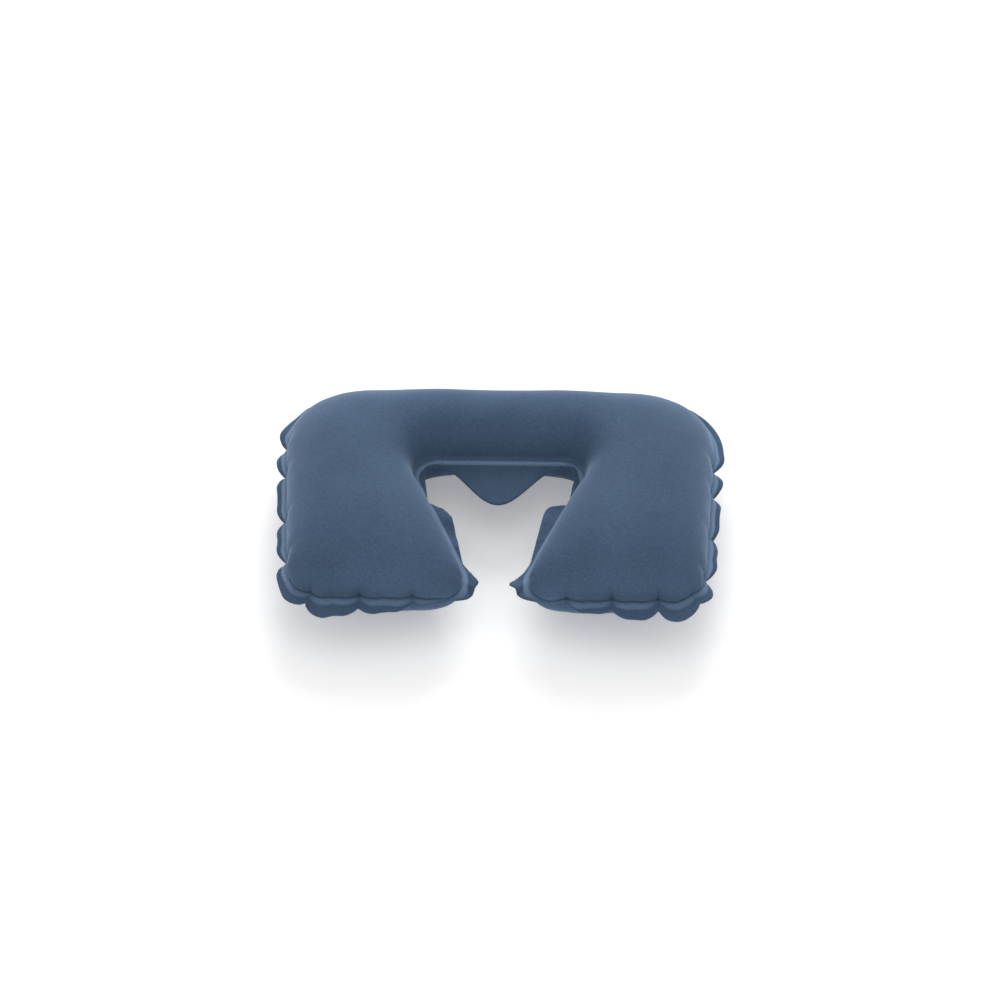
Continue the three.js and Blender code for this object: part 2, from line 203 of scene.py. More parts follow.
def gauss(x, width):
    """A bell of height 1."""
    return np.exp(-((x / width) ** 2))


def bowed(points):
    """The outline as the air leaves it: bowed edges, wider behind than in front, full rear corners."""
    x, y = points[:, 0], points[:, 1]
    corner = smooth(np.abs(x), 70, 170) * smooth(y, 30, 110)
    wide = x * (1 - BOW * (y / EDGE_Y) ** 2) * (1 + TAPER * y / EDGE_Y) + np.sign(x) * CORNER_X * corner
    return np.stack([wide, y * (1 - BOW * (x / EDGE_X) ** 2) + CORNER_Y * corner], 1)


def mirrored(half):
    """A closed loop from a right half that runs from the centre line to the centre line."""
    return np.vstack([half, (half * [-1, 1])[::-1][1:-1]])


def resample(loop, step):
    """The closed loop with its points evenly spaced."""
    closed = np.vstack([loop, loop[:1]])
    length = np.linalg.norm(np.diff(closed, axis=0), axis=1)
    closed = closed[np.concatenate([[True], length > 1e-6])]
    along = np.concatenate([[0], np.cumsum(np.linalg.norm(np.diff(closed, axis=0), axis=1))])
    count = int(round(along[-1] / step))
    at = np.arange(count) * along[-1] / count
    return np.stack([np.interp(at, along, closed[:, k]) for k in range(2)], 1)


WELD = mirrored(bowed(fillet([
    (0, NECK_Y, 0), (90, NECK_Y, 24), (TIP_X, FRONT_Y + 1, 20), (OUTER_X, FRONT_Y, 32),
    (OUTER_X, BACK_Y, 75), (0, BACK_Y, 0)])))
CUT = mirrored(bowed(fillet([
    (0, ROOT_EDGE_Y, 0), (SLOT_X, ROOT_EDGE_Y, 0.3), (SLOT_X, SHOULDER_Y, 0.3), (68, SHOULDER_Y, 8),
    (64, -2, 3), (43, -6, 12), (31, -73, 15), (14, -98, 3), (24, -112, 10), (85, -127, 120),
    (EDGE_X, EDGE_FRONT_Y, 42), (EDGE_X, EDGE_Y, 82), (0, EDGE_Y, 0)])))

# The flange's inner lobes and tips aren't alike: (x, y) of a place, how far it moves, and over what reach.
for place, move, reach in (((-38, -6), (0, -13), 11), ((40, -6), (1, 4), 11), ((15, -99), (-3, -2), 9)):
    CUT += np.outer(gauss(np.linalg.norm(CUT - place, axis=1), reach), move)

# The part of the weld line along the neck and the arms' inner sides.
INNER_SIDE = WELD[(np.abs(WELD[:, 0]) < 94) & (WELD[:, 1] > -95) & (WELD[:, 1] < NECK_Y + 1)]


def nearest(points, loop):
    """Distance to a closed loop, the arc length of the nearest place and the way out to the point."""
    best = np.full(len(points), np.inf)
    place = np.zeros(len(points))
    away = np.zeros((len(points), 2))
    start = 0.0
    for a, b in zip(loop, np.roll(loop, -1, 0)):
        side = b - a
        length = float(np.linalg.norm(side))
        if length < 1e-9:
            continue
        t = np.clip((points - a) @ side / length**2, 0, 1)
        off = points - a - t[:, None] * side
        far = np.linalg.norm(off, axis=1)
        closer = far < best
        best[closer], away[closer] = far[closer], off[closer]
        place[closer] = start + t[closer] * length
        start += length
    return best, place, away / np.maximum(best, 1e-9)[:, None]


def weld_normals(points):
    """Outward directions at points of the weld line itself."""
    reach = 0.5
    tries = np.array([(math.cos(a), math.sin(a)) for a in np.linspace(0, 2 * np.pi, 48, endpoint=False)])
    outside = np.array([~within(points + reach * t, WELD) for t in tries])
    total = (outside[:, :, None] * tries[:, None, :]).sum(0)
    return total / np.maximum(np.linalg.norm(total, axis=1), 1e-9)[:, None]


def within(points, loop):
    """Which points are inside the loop."""
    x, y = points[:, 0], points[:, 1]
    odd = np.zeros(len(points), bool)
    for (x0, y0), (x1, y1) in zip(loop, np.roll(loop, -1, 0)):
        if y0 != y1:
            odd ^= ((y0 > y) != (y1 > y)) & (x < (x1 - x0) * (y - y0) / (y1 - y0) + x0)
    return odd


def lattice(step):
    """A triangular grid over the whole pillow."""
    rows = []
    half_x, half_y = EDGE_X + 10, EDGE_Y + 15
    for k, y in enumerate(np.arange(-half_y, half_y, step * math.sqrt(3) / 2)):
        x = np.arange(-half_x, half_x, step) + (step / 2 if k % 2 else 0)
        rows.append(np.stack([x, np.full(len(x), y)], 1))
    return np.vstack(rows)


def pattern():
    """The cut film as flat triangles: points, faces, which faces are dome, which points are weld."""
    weld, cut = resample(WELD, FINE), resample(CUT, FINE)
    along = np.roll(weld, -1, 0) - np.roll(weld, 1, 0)
    inward = np.stack([along[:, 1], -along[:, 0]], 1) / np.linalg.norm(along, axis=1)[:, None]
    if not within(weld[:1] + inward[:1], weld)[0]:
        inward = -inward
    wall = [weld + inward * (k * ROW_RISE) ** 2 / WALL_CURVE for k in range(1, ROWS + 1)]
    reach = (ROWS * ROW_RISE) ** 2 / WALL_CURVE
    inner = lattice(COARSE)
    inner = inner[within(inner, weld)]
    inner = inner[nearest(inner, weld)[0] > FINE_REACH]
    edge = lattice(FINE)
    edge = edge[within(edge, cut)]
    edge = edge[(nearest(edge, cut)[0] > 0.6 * FINE)]
    far, inside = nearest(edge, weld)[0], within(edge, weld)
    over_wall = (far > reach + 0.6 * FINE) & (far < FINE_REACH - 0.5 * FINE)
    edge = edge[np.where(inside, over_wall, far > 0.6 * FINE)]
    points = np.vstack([weld, cut, *wall, inner, edge])
    n, m = len(weld), len(cut)
    edges = [(i, (i + 1) % n) for i in range(n)] + [(n + i, n + (i + 1) % m) for i in range(m)]
    points, _, faces, *_ = delaunay_2d_cdt([Vector(p) for p in points], edges, [], 0, 1e-6)
    points = np.array([tuple(p) for p in points])
    faces = np.array([tuple(f) for f in faces])
    faces = faces[within(points[faces].mean(1), cut)]
    a = points[faces[:, 1]] - points[faces[:, 0]]
    b = points[faces[:, 2]] - points[faces[:, 0]]
    turned = a[:, 0] * b[:, 1] < a[:, 1] * b[:, 0]
    faces[turned] = faces[turned][:, ::-1]
    dome = within(points[faces].mean(1), weld)
    on_dome, on_flange = np.zeros((2, len(points)), bool)
    on_dome[faces[dome].ravel()] = True
    on_flange[faces[~dome].ravel()] = True
    return points, faces, dome, on_dome & on_flange


def bubble(points, faces, fixed):
    """Height of a soap film blown up over the pattern, from the Poisson equation on its triangles."""
    weights, pairs = [], []
    area = np.zeros(len(points))
    for k in range(3):
        i, j, o = faces[:, k], faces[:, (k + 1) % 3], faces[:, (k + 2) % 3]
        u, v = points[i] - points[o], points[j] - points[o]
        cross = u[:, 0] * v[:, 1] - u[:, 1] * v[:, 0]
        weights.append((u * v).sum(1) / np.maximum(cross, 1e-9) / 2)
        pairs.append(np.stack([i, j], 1))
        np.add.at(area, i, cross / 6)
    weights, pairs = np.concatenate(weights), np.vstack(pairs)
    count = len(points)

    def stiffness(u):
        flow = weights * (u[pairs[:, 0]] - u[pairs[:, 1]])
        out = np.bincount(pairs[:, 0], flow, count) - np.bincount(pairs[:, 1], flow, count)
        out[fixed] = 0
        return out

    load = np.where(fixed, 0, area)
    u, residual = np.zeros(count), load.copy()
    step, size = residual.copy(), float(residual @ residual)
    for _ in range(900):
        pushed = stiffness(step)
        alpha = size / float(step @ pushed)
        u += alpha * step
        residual -= alpha * pushed
        size, old = float(residual @ residual), size
        if size < 1e-12 * float(load @ load):
            break
        step = residual + size / old * step
    return np.sqrt(np.maximum(2 * u, 0))


# ---------------------------------------------------------------- the films


def overhang(rise, seam, out, outer_side, flat):
    """A dome's wall stands out a little over the weld, most along the arms' inner sides."""
    arm = smooth(-flat[:, 1], -25, 10)
    reach = OVERHANG_OUT * outer_side + OVERHANG_IN * (1 - outer_side) * arm
    bulge = np.sin(np.pi * np.clip(rise / OVERHANG_RISE, 0, 1)) * (seam < 0)
    return -out * (reach * bulge)[:, None]


def pleated(flat, rise, seam, along, out, outer_side):
    """How the pleats move each point, in the plane and in height, and how full they leave the weld's roll."""
    total = np.linalg.norm(np.diff(np.vstack([WELD, WELD[:1]]), axis=0), axis=1).sum()
    inside, depth = seam < 0, np.abs(seam)
    outward = np.where(inside[:, None], -out, out)
    drawn = np.zeros(len(flat))
    wave = np.sin(along / 5.9 + 2.1 * np.sin(along / 37))
    inner_wave = 12 + 13 * np.sin(along / 6.5 + 2.8)
    bend = -5 + 4 * np.sin(along / 9.3 + 0.7) + 4 * wave + inner_wave * (1 - outer_side)
    tucked, pinch = np.zeros((2, len(flat)))
    for (_, _, draw, angle, tuck), place in zip(PLEATS, nearest(np.array(PLEATS)[:, :2], WELD)[1]):
        s = (along - place + total / 2) % total - total / 2
        s = np.where(outer_side > 0.5, s, 99)
        drawn += draw * (np.exp(-np.abs(s) / DRAW_REACH) - 0.25 * gauss(np.abs(s) - 12, 6))
        bend += angle * (np.exp(-np.abs(s) / BEND_REACH) - 0.15 * gauss(np.abs(s) - 17, 7))
        pinch = np.maximum(pinch, min(draw / PINCH_DRAW, 1) * np.exp(-np.abs(s) / PINCH_REACH))
        tucked += tuck * (np.exp(-np.abs(s) / TUCK_REACH) - 0.12 * gauss(np.abs(s) - 14, 6))
    crease = np.where(inside, gauss(rise, CREASE), 1.0)
    bend = np.radians(bend) * smooth(depth, 0, 7)
    fold = np.where(inside, 0, depth)
    tucked *= fold * smooth(fold, 0, 8)
    shift = outward * (-drawn * crease + fold * (np.cos(bend) - 1) - tucked)[:, None]
    at_flap = (np.abs(flat[:, 0]) < FLAP_HALF + 3) & (flat[:, 1] > SHOULDER_Y)
    swell = (1 - 0.9 * pinch) * np.where(at_flap, 1, smooth(nearest(flat, CUT)[0], 0, 3.5))
    return shift, fold * np.sin(bend) * np.minimum(1, 16 / np.maximum(fold, 1)), swell


def relaxed(start, rest, faces, pressed, hold):
    """The whole bladder under pressure, as Blender's cloth leaves it."""
    mesh = bpy.data.meshes.new("bladder")
    mesh.from_pydata(start * MM, [], faces.tolist())
    bladder = bpy.data.objects.new("bladder", mesh)
    scene = bpy.context.scene
    scene.collection.objects.link(bladder)
    bladder.shape_key_add(name="Basis")
    key = bladder.shape_key_add(name="rest")
    key.data.foreach_set("co", (rest * MM).astype(np.float32).ravel())
    press = bladder.vertex_groups.new(name="press")
    press.add([int(i) for i in np.where(pressed)[0]], 1.0, "REPLACE")
    pins = bladder.vertex_groups.new(name="hold")
    for level in np.unique(hold):
        if level > 0:
            pins.add([int(i) for i in np.where(hold == level)[0]], float(level), "REPLACE")
    cloth = bladder.modifiers.new("cloth", "CLOTH").settings
    cloth.quality = 6
    cloth.mass = 0.05
    cloth.tension_stiffness, cloth.compression_stiffness = 40, 10
    cloth.shear_stiffness, cloth.bending_stiffness = 10, 0.05
    cloth.air_damping = 1.0
    cloth.use_pressure = True
    cloth.uniform_pressure_force = PRESSURE
    cloth.vertex_group_pressure = "press"
    cloth.vertex_group_mass = "hold"
    cloth.pin_stiffness = 1.0
    cloth.rest_shape_key = key
    cloth.effector_weights.gravity = 0
    bladder.modifiers["cloth"].collision_settings.use_collision = False
    for number in range(1, FRAMES + 1):
        scene.frame_set(number)
    shown = bladder.evaluated_get(bpy.context.evaluated_depsgraph_get()).to_mesh()
    moved = np.zeros(len(start) * 3, np.float32)
    shown.vertices.foreach_get("co", moved)
    scene.frame_set(1)
    bpy.data.objects.remove(bladder)
    return moved.reshape(-1, 3).astype(float) / MM


def inflated():
    """Both films blown up: points over the weld line's height, with the faces of each film."""
    flat, faces, dome, weld = pattern()
    on_dome = np.zeros(len(flat), bool)
    on_dome[faces[dome].ravel()] = True
    rise = bubble(flat, faces[dome], weld | ~on_dome)
    rise *= TUBE_FULLER - (TUBE_FULLER - ARM_FLATTER) * smooth(np.abs(flat[:, 0]), TUBE_X, ARM_X)
    seam, along, out = nearest(flat, WELD)
    on_weld = seam < 1e-3
    out[on_weld] = weld_normals(flat[on_weld])
    seam = np.where(on_dome & ~weld, -seam, seam)
    outer_side = smooth(nearest(flat, INNER_SIDE)[0] - np.abs(seam), -1, 2)
    shift, lift, swell = pleated(flat, rise, seam, along, out, outer_side)
    plan = flat + shift + overhang(rise, seam, out, outer_side, flat)
    free = on_dome & ~weld
    count = len(flat)
    twin = np.arange(count)
    twin[free] = count + np.arange(int(free.sum()))
    height = rise + lift
    start = np.vstack([np.column_stack([plan, height]), np.column_stack([plan, -rise])[free]])
    upper = faces
    lower = twin[faces][:, ::-1]
    seam, swell = (np.concatenate([values, values[free]]) for values in (seam, swell))
    pressed = np.concatenate([on_dome, on_dome[free]])
    start = settled(start, np.vstack([faces, lower[dome]]), seam, pressed)
    return start, upper, lower, seam, swell


def settled(start, faces, seam, pressed):
    """The films after a short spell of cloth under pressure, with slack film along the weld."""
    rng = np.random.default_rng(7)
    slack = REST_SLACK * smooth(seam, -14, -3)
    rest = start + rng.uniform(-1, 1, start.shape) * slack[:, None]
    # How firmly the cloth is held: well up the dome, low on its wall, at the weld and out on the flange.
    hold = np.where(seam < -16, 0.25, np.where(seam < -6, 0.08, np.where(seam < 2, 0.12, 0.02)))
    step = relaxed(start, rest, faces, pressed, hold) - start
    far = np.linalg.norm(step, axis=1)
    return start + step * (np.minimum(far, CAP) / np.maximum(far, 1e-9))[:, None]


def add_object(name, points, faces, attributes=()):
    """A smooth-shaded mesh object in metres, with named point attributes."""
    mesh = bpy.data.meshes.new(name)
    mesh.from_pydata((np.asarray(points) * MM).tolist(), [], np.asarray(faces).tolist())
    for label, values in attributes:
        mesh.attributes.new(label, "FLOAT", "POINT").data.foreach_set("value", np.asarray(values, np.float32))
    piece = bpy.data.objects.new(name, mesh)
    bpy.context.scene.collection.objects.link(piece)
    mesh.shade_smooth()
    return piece


def normals_of(points, faces):
    """Unit normals at the points, weighted by the area of the faces round each."""
    a, b, c = points[faces[:, 0]], points[faces[:, 1]], points[faces[:, 2]]
    across = np.cross(b - a, c - a)
    out = np.zeros_like(points)
    for k in range(3):
        np.add.at(out, faces[:, k], across)
    return out / np.maximum(np.linalg.norm(out, axis=1), 1e-12)[:, None]


def border(faces):
    """Directed edges that only one face uses."""
    edges = np.vstack([faces[:, [0, 1]], faces[:, [1, 2]], faces[:, [2, 0]]])
    key = edges[:, 0] * (faces.max() + 1) + edges[:, 1]
    back = edges[:, 1] * (faces.max() + 1) + edges[:, 0]
    return edges[~np.isin(key, back)]


def shell(name, outer, inner, faces, attributes):
    """A closed thin shell between two surfaces of one mesh, with a rim round its borders."""
    count = len(outer)
    edges = border(faces)
    a, b = edges[:, 0], edges[:, 1]
    rim = np.vstack([np.stack([b, a, a + count], 1), np.stack([b, a + count, b + count], 1)])
    all_faces = np.vstack([faces, faces[:, ::-1] + count, rim])
    doubled = [(label, np.concatenate([values, values])) for label, values in attributes]
    return add_object(name, np.vstack([outer, inner]), all_faces, doubled)


def rounded(across):
    """Height of the pressed weld's roll: from 0 to 1 and back, over 0 to 1 across it."""
    return np.sin(np.pi * np.clip(across, 0, 1)) ** 0.8


def film(name, points, faces, seam, swell):
    """One film as a thin closed shell, its outside raised a little along the pressed weld."""
    used, faces = np.unique(faces, return_inverse=True)
    faces, points, seam, swell = faces.reshape(-1, 3), points[used], seam[used], swell[used]
    normal = normals_of(points, faces)
    front = smooth(-points[:, 1], 90, 112)
    width = WELD_BAND + FRONT_WIDER * front
    bead = (WELD_RAISE + FRONT_RAISE * front) * rounded(seam / width) * swell
    outer = points + normal * (FILM + HALF_GAP + bead)[:, None]
    inner = points + normal * HALF_GAP
    for side in (outer, inner):
        side[:, 2] += WELD_Z
    if name == "lower_film":
        seated(outer, SEAT)
        seated(inner, SEAT - FILM)
    inner[:, 2] = np.where(outer[:, 2] < FILM, np.maximum(inner[:, 2], FILM), inner[:, 2])
    outer[:, 2] = np.maximum(outer[:, 2], 0)
    pressed = (1 - FRONT_DULLER * front) * swell
    return shell(name, outer, inner, faces, [("seam", seam * WELD_BAND / width), ("pressed", pressed)])


def seated(points, limit):
    """Flattens the film round the valve, as its stiff flange does."""
    out = (points - TUBE_CENTRE) @ VALVE_AXIS
    aside = np.linalg.norm(points - TUBE_CENTRE - out[:, None] * VALVE_AXIS, axis=1)
    hold = (1 - smooth(aside, SEAT_R + 2, SEAT_R + 12)) * (out > 0.6 * SEAT)
    points += np.outer(np.where(out > limit, (limit - out) * hold, 0), VALVE_AXIS)


def bell(x):
    """The flap's lower edge."""
    drop = SHOULDER_Y - FLAP_TIP_Y
    return SHOULDER_Y - drop * (1 + np.cos(np.pi * x / FLAP_HALF)) / 2


def neck_flap():
    """The double film inside the neck opening, hanging a little towards its tip."""
    x = np.linspace(FLAP_HALF, 0, 40)
    root = FLAP_ROOT_Y + TONGUE
    half = np.vstack([[(0, root), (FLAP_HALF, root)], np.stack([x, bell(x)], 1)])
    edge = resample(mirrored(half), 2.0)
    points = lattice(2.4)
    points = points[within(points, edge)]
    points = points[nearest(points, edge)[0] > 1.3]
    n = len(edge)
    ring = [(i, (i + 1) % n) for i in range(n)]
    across = np.arange(-FLAP_HALF + 1, FLAP_HALF - 0.5, 2.0)
    lines = [np.stack([across, np.full(len(across), FLAP_ROOT_Y + y)], 1) for y in (0, 0.2)]
    points = np.vstack([edge, points[np.abs(points[:, 1] - FLAP_ROOT_Y) > 0.8], *lines])
    flat, _, faces, *_ = delaunay_2d_cdt([Vector(p) for p in points], ring, [], 0, 1e-6)
    flat = np.array([tuple(p) for p in flat])
    faces = np.array([tuple(f) for f in faces])
    faces = faces[within(flat[faces].mean(1), edge)]
    out = np.clip((FLAP_ROOT_Y - flat[:, 1]) / (FLAP_ROOT_Y - FLAP_TIP_Y), 0, 1)
    out = np.maximum(out - 0.05, 0) / 0.95
    sag = -3.0 * out**2 + 1.2 * out * np.sin(flat[:, 0] / 13 + 0.6) * (1 - 0.4 * out)
    rim = nearest(flat, edge)[0]
    body = np.column_stack([flat, sag + WELD_Z])
    normal = normals_of(body, faces)
    if normal[:, 2].mean() < 0:
        faces, normal = faces[:, ::-1], -normal
    seam = NECK_Y - flat[:, 1]
    thick = FILM + HALF_GAP - 0.25 * gauss(rim, 1.2) * (flat[:, 1] < SHOULDER_Y)
    thick += WELD_RAISE * rounded(seam / WELD_BAND)
    thick = np.where(flat[:, 1] > FLAP_ROOT_Y + 0.1, HALF_GAP / 2, thick)
    return shell("neck_flap_film", body + normal * thick[:, None], body - normal * thick[:, None], faces,
                 [("seam", np.minimum(seam, WELD_BAND + 1)), ("pressed", 1 + 0 * seam)])


# ---------------------------------------------------------------- the valve, local Z outwards


def placed(name, verts, faces):
    """A piece of the valve, from its own frame: origin in the film's outer face, X along the pillow."""
    piece = add_object(name, verts, faces)
    turn = Matrix.Rotation(-math.pi / 2 - VALVE_TILT, 4, "X")
    turn.translation = Vector(TUBE_CENTRE + SEAT * VALVE_AXIS) * MM
    piece.data.transform(turn)
    return piece


def turned(name, corners, rings=72):
    """A solid turned about local Z, from the (radius, height, rounding) corners of its profile."""
    first, last = np.array(corners[0][:2]), np.array(corners[-1][:2])
    closing = tuple((first + last) / 2) + (0,)
    on_axis = first[0] == 0 and last[0] == 0
    line = fillet(corners if on_axis else [closing, *corners, closing], 0.25)
    line = line[np.concatenate([[True], np.linalg.norm(np.diff(line, axis=0), axis=1) > 1e-6])]
    if not on_axis:
        line = line[:-1]
    count = len(line)
    angles = np.linspace(0, 2 * np.pi, rings, endpoint=False)
    verts = [(r * math.cos(a), r * math.sin(a), z) for a in angles for r, z in line]
    faces = []
    for i in range(rings):
        for j in range(count - 1 if on_axis else count):
            a, b = i * count + j, i * count + (j + 1) % count
            c, d = (i + 1) % rings * count + (j + 1) % count, (i + 1) % rings * count + j
            faces += [(a, d, c), (a, c, b)]
    piece = placed(name, verts, faces)
    return tidied(piece)


def tidied(piece):
    """Merges doubled points, drops flat faces and turns all faces outwards."""
    work = bmesh.new()
    work.from_mesh(piece.data)
    bmesh.ops.remove_doubles(work, verts=work.verts, dist=1e-7)
    bmesh.ops.dissolve_degenerate(work, edges=work.edges, dist=1e-7)
    bmesh.ops.recalc_face_normals(work, faces=work.faces)
    work.to_mesh(piece.data)
    work.free()
    return piece


def bar(name, size, centre, rounding=0.25):
    """A rounded block of the valve."""
    work = bmesh.new()
    bmesh.ops.create_cube(work, size=1)
    bmesh.ops.scale(work, vec=size, verts=work.verts)
    bmesh.ops.translate(work, vec=centre, verts=work.verts)
    bmesh.ops.bevel(work, geom=list(work.edges), offset=rounding, segments=4, profile=0.5, affect="EDGES")
    bmesh.ops.triangulate(work, faces=work.faces)
    verts = [tuple(v.co) for v in work.verts]
    faces = [tuple(v.index for v in f.verts) for f in work.faces]
    work.free()
    return placed(name, verts, faces)


def combined(piece, other, operation):
    """Boolean of two pieces, left on the first; the second one goes."""
    cutter = piece.modifiers.new("with", "BOOLEAN")
    cutter.operation, cutter.object, cutter.solver = operation, other, "EXACT"
    mesh = bpy.data.meshes.new_from_object(piece.evaluated_get(bpy.context.evaluated_depsgraph_get()))
    piece.modifiers.clear()
    piece.data = mesh
    mesh.shade_smooth()
    bpy.data.objects.remove(other)
    return piece


def valve(soft, cap):
    """The valve's visible pieces, finer than the CAD's: (piece, material, slot, body, CAD node)."""
    ring = [(9.6, -2.2, 0.2), (15, -2.2, 0.3), (15, -1.4, 0.3), (9.6, -1.4, 0.2)]
    skirt = [(4.9, -12.5, 0.2), (5.5, -12.5, 0.25), (9.3, -1.6, 0.2), (8.7, -1.6, 0.2)]
    stem = [(2.8, -13, 0.3), (4.6, -13, 0.4), (4.6, -1.9, 0.5), (2.8, -1.9, 0.4)]
    collar = [(4.9, -4.2, 0.25), (5.9, -4.2, 0.4), (5.9, -2.4, 0.4), (4.9, -2.4, 0.25)]
    plug = [(0, -5.0, 0), (1.8, -5.0, 0.4), (2.5, -1.6, 0.2), (5, -1.6, 0.3), (5, -0.2, 0.5),
            (3.4, -0.2, 0.4), (3.0, -0.7, 0.4), (0, -0.7, 0)]
    check = [(0, -13.8, 0), (4, -13.8, 0.2), (4, -13.3, 0.2), (0, -13.3, 0)]
    rim = combined(turned("stem_collar", collar), bar("lug", (3.0, 2.2, 0.8), (0, 6.4, -2.8)), "UNION")
    head = combined(turned("cap", plug), bar("tab", (4.6, 4.4, 0.8), (0, -6.2, -0.9)), "UNION")
    strap = bar("cap_hinge_strap", (3.6, 2.5, 0.8), (0, 6.55, -1.3), 0.35)
    return [
        (turned("film_ring", ring), soft, "soft_vinyl", "pillow", "valve_flange"),
        (turned("inverting_skirt", skirt, 96), soft, "soft_vinyl", None, "valve_skirt"),
        (turned("stem", stem), soft, "soft_vinyl", "stem", "valve_stem"),
        (rim, cap, "cap_vinyl", "stem", "cap_collar"),
        (strap, cap, "cap_vinyl", "cap", "cap_strap"),
        (head, cap, "cap_vinyl", "cap", "cap_plug"),
        (turned("check_disc", check), soft, "soft_vinyl", "check", "check_flap"),
    ]


def ported(film_piece):
    """Cuts the valve's port through the lower film."""
    port = [(0, -6, 0), (PORT_R, -6, 0.1), (PORT_R, 6, 0.1), (0, 6, 0)]
    combined(film_piece, turned("port", port, 96), "DIFFERENCE")
    seam = film_piece.data.attributes["seam"].data
    centre = Vector(TUBE_CENTRE + SEAT * VALVE_AXIS) * MM
    for vertex in film_piece.data.vertices:
        if (vertex.co - centre).length < (PORT_R + 3) * MM:
            seam[vertex.index].value = AWAY_FROM_WELD
    return film_piece


# ---------------------------------------------------------------- materials


def srgb(r, g, b):
    """An sRGB colour, 0 to 255, as linear red, green, blue and alpha."""
    linear = [c / 255 / 12.92 if c < 11 else ((c / 255 + 0.055) / 1.055) ** 2.4 for c in (r, g, b)]
    return (*linear, 1)


class Nodes:
    """A short way to write a material's node tree."""

    def __init__(self, name):
        self.material = bpy.data.materials.new(name)
        self.material.use_nodes = True
        self.tree = self.material.node_tree
        self.shader = self.tree.nodes["Principled BSDF"]

    def new(self, kind, inputs=(), **settings):
        node = self.tree.nodes.new(kind)
        for key, value in settings.items():
            setattr(node, key, value)
        for key, value in dict(inputs).items():
            if isinstance(value, bpy.types.NodeSocket):
                self.tree.links.new(value, node.inputs[key])
            else:
                node.inputs[key].default_value = value
        return node

    def set(self, **values):
        for key, value in values.items():
            key = key.replace("_", " ")
            if isinstance(value, bpy.types.NodeSocket):
                self.tree.links.new(value, self.shader.inputs[key])
            else:
                self.shader.inputs[key].default_value = value


def maths(n, operation, a, b):
    """One step of arithmetic between two sockets or numbers."""
    return n.new("ShaderNodeMath", {0: a, 1: b}, operation=operation).outputs[0]


def noise(n, scale, detail=3.0, roughness=0.5, where=None, **inputs):
    where = where or n.new("ShaderNodeTexCoord").outputs["Object"]
    return n.new("ShaderNodeTexNoise", {"Vector": where, "Scale": scale, "Detail": detail,
                                        "Roughness": roughness, **inputs}).outputs["Fac"]


def ramp(n, value, *stops):
    """A colour ramp through (place, colour) stops."""
    node = n.new("ShaderNodeValToRGB", {"Fac": value})
    while len(node.color_ramp.elements) < len(stops):
        node.color_ramp.elements.new(0.5)
    for element, (place, colour) in zip(node.color_ramp.elements, stops):
        element.position, element.color = place, colour
    return node.outputs["Color"]


def remap(n, value, from_low, from_high, to_low, to_high):
    return n.new("ShaderNodeMapRange", {"Value": value, "From Min": from_low, "From Max": from_high,
                                        "To Min": to_low, "To Max": to_high}).outputs["Result"]


def mix(n, share, a, b, blend="MIX"):
    """Two colours blended, each a socket or a plain colour."""
    node = n.new("ShaderNodeMix", data_type="RGBA", blend_type=blend)
    for socket, value in ((0, share), (6, a), (7, b)):
        if isinstance(value, bpy.types.NodeSocket):
            n.tree.links.new(value, node.inputs[socket])
        else:
            node.inputs[socket].default_value = value
    return node.outputs[2]


def flocked(name, shade=1.0):
    """Short velvet flock on soft film: speckled pile, brushed patches, a pressed weld; shade below 1 darkens
    it all as painted shade.
    """
    n = Nodes(name)
    patches = noise(n, 17, 4, 0.6)
    grain = noise(n, 1100, 3, 0.7)
    tufts = noise(n, 420, 2, 0.6)
    # shade darkens both flock tones: painted shade, used for the flap that lies in the back tube's shadow
    dark, light = (srgb(*(shade * c for c in tone)) for tone in (FLOCK_DARK, FLOCK_LIGHT))
    pile = ramp(n, patches, (0.3, dark), (0.7, light))
    speckle = ramp(n, grain, (0.30, (0.66, 0.66, 0.68, 1)), (0.70, (1.34, 1.34, 1.32, 1)))
    clump = ramp(n, tufts, (0.30, (0.86, 0.86, 0.86, 1)), (0.70, (1.14, 1.14, 1.14, 1)))
    colour = mix(n, 0.6, mix(n, 0.7, pile, speckle, "MULTIPLY"), clump, "MULTIPLY")
    seam = n.new("ShaderNodeAttribute", attribute_name="seam").outputs["Fac"]
    strength = n.new("ShaderNodeAttribute", attribute_name="pressed").outputs["Fac"]
    up = remap(n, seam, -0.6, 0.9, 0, 1)
    down = remap(n, seam, WELD_BAND - 0.6, WELD_BAND + 0.8, 1, 0)
    band = maths(n, "MULTIPLY", maths(n, "MULTIPLY", up, down), strength)
    pressed = mix(n, 0.6, srgb(*WELD_COLOUR), speckle, "MULTIPLY")
    colour = mix(n, maths(n, "MULTIPLY", band, WELD_SHARE), colour, pressed)
    fine = noise(n, 900, 3, 0.65)
    beside = n.new("ShaderNodeClamp", {"Value": seam, "Min": WELD_BAND, "Max": WELD_BAND + RIBS * RIB_PITCH})
    ribs = maths(n, "PINGPONG", beside.outputs[0], RIB_PITCH)
    rib = n.new("ShaderNodeBump", {"Height": ribs, "Strength": 0.5, "Distance": 0.0004})
    bump = n.new("ShaderNodeBump", {"Height": fine, "Strength": 0.35, "Distance": 0.0004,
                                    "Normal": rib.outputs["Normal"]})
    soft = n.new("ShaderNodeBump", {"Height": patches, "Strength": 0.25, "Distance": 0.0012,
                                    "Normal": bump.outputs["Normal"]})
    n.set(Base_Color=colour, Roughness=0.95, Normal=soft.outputs["Normal"], Sheen_Weight=SHEEN,
          Sheen_Roughness=SHEEN_ROUGH, Sheen_Tint=srgb(*SHEEN_TINT), Specular_IOR_Level=0.12)
    return n.material


